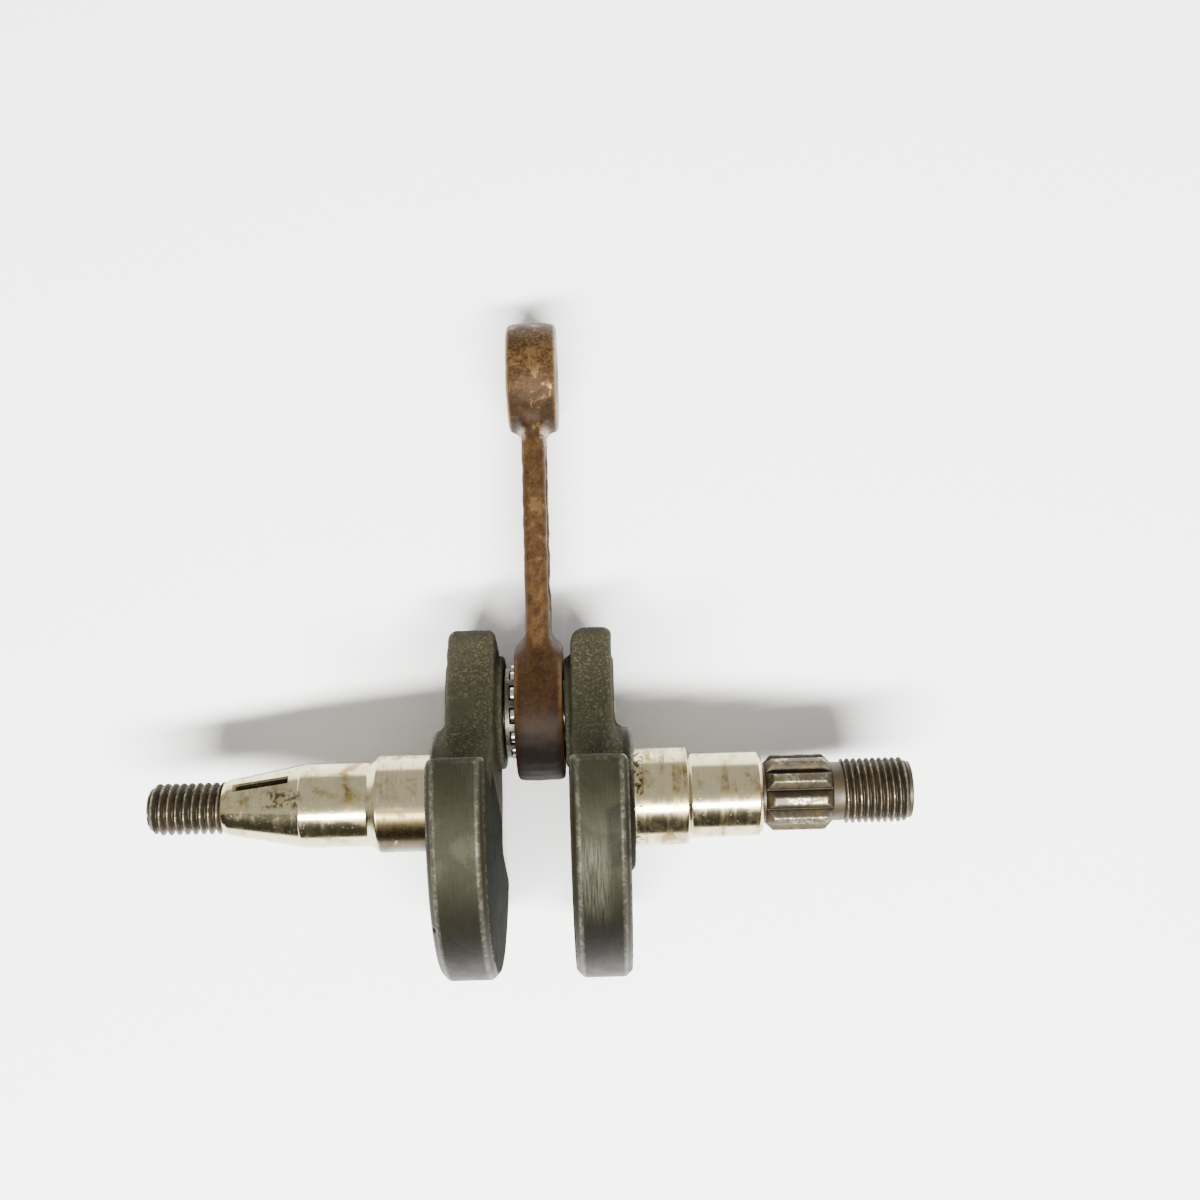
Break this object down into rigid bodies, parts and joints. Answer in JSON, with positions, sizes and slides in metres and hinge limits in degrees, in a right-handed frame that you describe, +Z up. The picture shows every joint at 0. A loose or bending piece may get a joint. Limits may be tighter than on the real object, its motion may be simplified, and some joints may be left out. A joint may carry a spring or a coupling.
{
  "type": "crankshaft",
  "caption": "Built-up crankshaft of a small single-cylinder engine: two webs on a pressed crankpin, with its connecting rod on a caged needle bearing.",
  "frame": {"origin": "on the crank axis at the middle of the drive-side bearing journal", "axes": "+X along the crank axis towards the splined drive end, +Z up from the table that the part lies on, +Y the way the connecting rod lies"},
  "size_m": [0.1173, 0.103, 0.0478],
  "materials": {
    "web_steel": "forged webs, oiled dark grey, with ground shafts",
    "pin_steel": "ground and hardened",
    "rod_copper": "forged steel with a worn copper flash",
    "cage_steel": "dark oiled steel",
    "needle_steel": "polished roller"
  },
  "bodies": {
    "crankshaft": {"crank_half_flywheel_side": "web_steel", "crank_half_drive_side": "web_steel", "crankpin": "pin_steel"},
    "connecting_rod": {"connecting_rod": "rod_copper"},
    "needle_cage": {"big_end_cage": "cage_steel"},
    "roller_01": {"needle_01": "needle_steel"},
    "roller_02": {"needle_02": "needle_steel"},
    "roller_03": {"needle_03": "needle_steel"},
    "roller_04": {"needle_04": "needle_steel"},
    "roller_05": {"needle_05": "needle_steel"},
    "roller_06": {"needle_06": "needle_steel"},
    "roller_07": {"needle_07": "needle_steel"},
    "roller_08": {"needle_08": "needle_steel"},
    "roller_09": {"needle_09": "needle_steel"},
    "roller_10": {"needle_10": "needle_steel"},
    "roller_11": {"needle_11": "needle_steel"},
    "roller_12": {"needle_12": "needle_steel"}
  },
  "joints": [
    {"name": "rod_swing", "type": "hinge", "parent": "crankshaft", "child": "connecting_rod", "pos_m": [-0.0192, 0.01305, -0.0074], "axis": [1, 0, 0], "continuous": true},
    {"name": "cage_roll", "type": "hinge", "parent": "crankshaft", "child": "needle_cage", "pos_m": [-0.0192, 0.01305, -0.0074], "axis": [1, 0, 0], "continuous": true},
    {"name": "roller_01_spin", "type": "hinge", "parent": "needle_cage", "child": "roller_01", "pos_m": [-0.0192, 0.01849, -0.01049], "axis": [1, 0, 0], "continuous": true},
    {"name": "roller_02_spin", "type": "hinge", "parent": "needle_cage", "child": "roller_02", "pos_m": [-0.0192, 0.01931, -0.00735], "axis": [1, 0, 0], "continuous": true},
    {"name": "roller_03_spin", "type": "hinge", "parent": "needle_cage", "child": "roller_03", "pos_m": [-0.0192, 0.01844, -0.00423], "axis": [1, 0, 0], "continuous": true},
    {"name": "roller_04_spin", "type": "hinge", "parent": "needle_cage", "child": "roller_04", "pos_m": [-0.0192, 0.01614, -0.00195], "axis": [1, 0, 0], "continuous": true},
    {"name": "roller_05_spin", "type": "hinge", "parent": "needle_cage", "child": "roller_05", "pos_m": [-0.0192, 0.013, -0.00114], "axis": [1, 0, 0], "continuous": true},
    {"name": "roller_06_spin", "type": "hinge", "parent": "needle_cage", "child": "roller_06", "pos_m": [-0.0192, 0.00988, -0.002], "axis": [1, 0, 0], "continuous": true},
    {"name": "roller_07_spin", "type": "hinge", "parent": "needle_cage", "child": "roller_07", "pos_m": [-0.0192, 0.0076, -0.00431], "axis": [1, 0, 0], "continuous": true},
    {"name": "roller_08_spin", "type": "hinge", "parent": "needle_cage", "child": "roller_08", "pos_m": [-0.0192, 0.00679, -0.00745], "axis": [1, 0, 0], "continuous": true},
    {"name": "roller_09_spin", "type": "hinge", "parent": "needle_cage", "child": "roller_09", "pos_m": [-0.0192, 0.00765, -0.01057], "axis": [1, 0, 0], "continuous": true},
    {"name": "roller_10_spin", "type": "hinge", "parent": "needle_cage", "child": "roller_10", "pos_m": [-0.0192, 0.00996, -0.01285], "axis": [1, 0, 0], "continuous": true},
    {"name": "roller_11_spin", "type": "hinge", "parent": "needle_cage", "child": "roller_11", "pos_m": [-0.0192, 0.0131, -0.01366], "axis": [1, 0, 0], "continuous": true},
    {"name": "roller_12_spin", "type": "hinge", "parent": "needle_cage", "child": "roller_12", "pos_m": [-0.0192, 0.01622, -0.0128], "axis": [1, 0, 0], "continuous": true}
  ],
  "couplings": [
    {"joint": "cage_roll", "follows": "rod_swing", "ratio": 0.60064},
    {"joint": "roller_01_spin", "follows": "rod_swing", "ratio": 2.4026},
    {"joint": "roller_02_spin", "follows": "rod_swing", "ratio": 2.4026},
    {"joint": "roller_03_spin", "follows": "rod_swing", "ratio": 2.4026},
    {"joint": "roller_04_spin", "follows": "rod_swing", "ratio": 2.4026},
    {"joint": "roller_05_spin", "follows": "rod_swing", "ratio": 2.4026},
    {"joint": "roller_06_spin", "follows": "rod_swing", "ratio": 2.4026},
    {"joint": "roller_07_spin", "follows": "rod_swing", "ratio": 2.4026},
    {"joint": "roller_08_spin", "follows": "rod_swing", "ratio": 2.4026},
    {"joint": "roller_09_spin", "follows": "rod_swing", "ratio": 2.4026},
    {"joint": "roller_10_spin", "follows": "rod_swing", "ratio": 2.4026},
    {"joint": "roller_11_spin", "follows": "rod_swing", "ratio": 2.4026},
    {"joint": "roller_12_spin", "follows": "rod_swing", "ratio": 2.4026}
  ]
}
